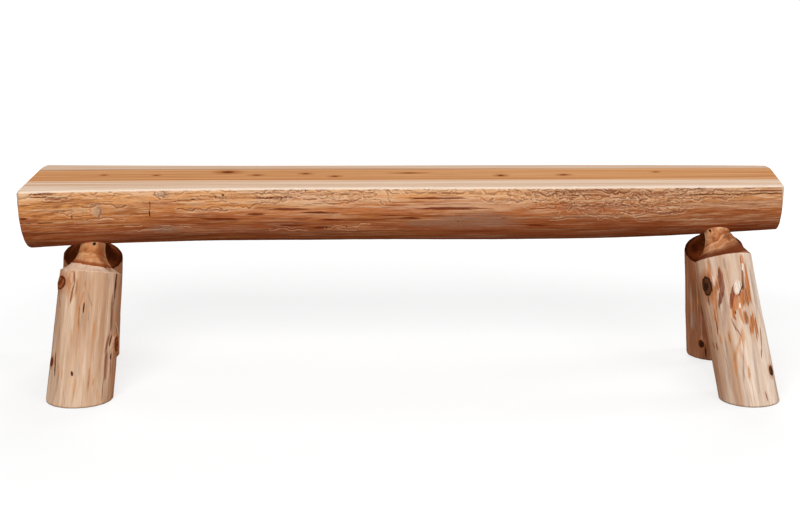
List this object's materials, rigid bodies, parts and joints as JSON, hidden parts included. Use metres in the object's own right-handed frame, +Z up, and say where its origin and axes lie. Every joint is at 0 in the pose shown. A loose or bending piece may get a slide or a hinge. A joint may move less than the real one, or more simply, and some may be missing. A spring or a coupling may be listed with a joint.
{
  "type": "log bench",
  "caption": "Rustic backless bench: a half log seat, flat on top, on splayed peeled log legs with round tenons.",
  "frame": {"origin": "on the floor, under the middle of the seat", "axes": "+X along the seat from its butt end to its tip end, -Y to the front, +Z up"},
  "size_m": [1.5285, 0.4707, 0.425],
  "materials": {
    "seat_wood": "clear satin over drawknifed orange-brown log with a planed pale-edged top",
    "leg_wood": "clear satin over peeled cream sapwood with dark knots",
    "screw_steel": "black coated steel"
  },
  "bodies": {
    "root": {"seat_half_log": "seat_wood", "leg_front_left": "leg_wood", "leg_front_right": "leg_wood", "leg_back_left": "leg_wood", "leg_back_right": "leg_wood", "leg_screws": "screw_steel"}
  },
  "joints": []
}
